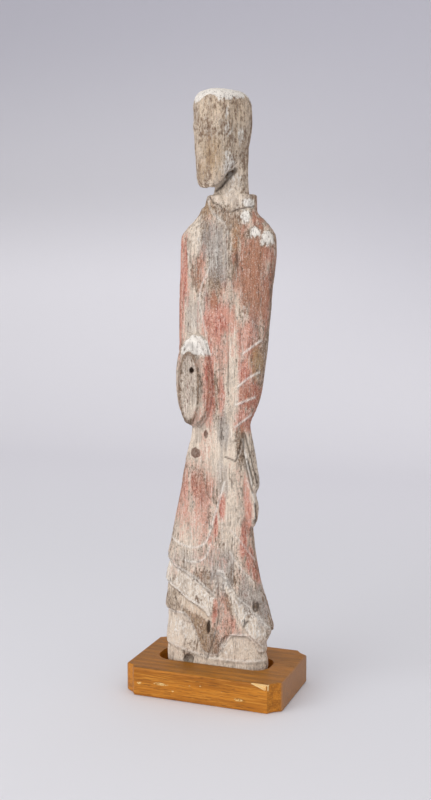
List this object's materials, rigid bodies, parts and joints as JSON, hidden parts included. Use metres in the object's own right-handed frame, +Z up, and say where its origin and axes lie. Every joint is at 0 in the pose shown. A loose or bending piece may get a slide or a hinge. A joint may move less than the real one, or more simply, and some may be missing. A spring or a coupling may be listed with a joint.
{
  "type": "tomb figurine",
  "caption": "Slender painted wooden figure of a robed attendant, weathered, standing in the rounded socket of a low wooden block with notched corners.",
  "frame": {"origin": "middle of the stand's underside", "axes": "+Z up along the figure, -Y the way the body faces, +X to the figure's left side"},
  "size_m": [0.165, 0.1064, 0.5973],
  "materials": {
    "painted_wood": "Old split wood with a dry white ground and worn vermilion paint, matt, grey and brown where bare.",
    "stand_wood": "Oiled honey-brown hardwood with a straight grain, satin, chipped pale at one corner."
  },
  "bodies": {
    "root": {"figure": "painted_wood", "stand": "stand_wood"}
  },
  "joints": []
}
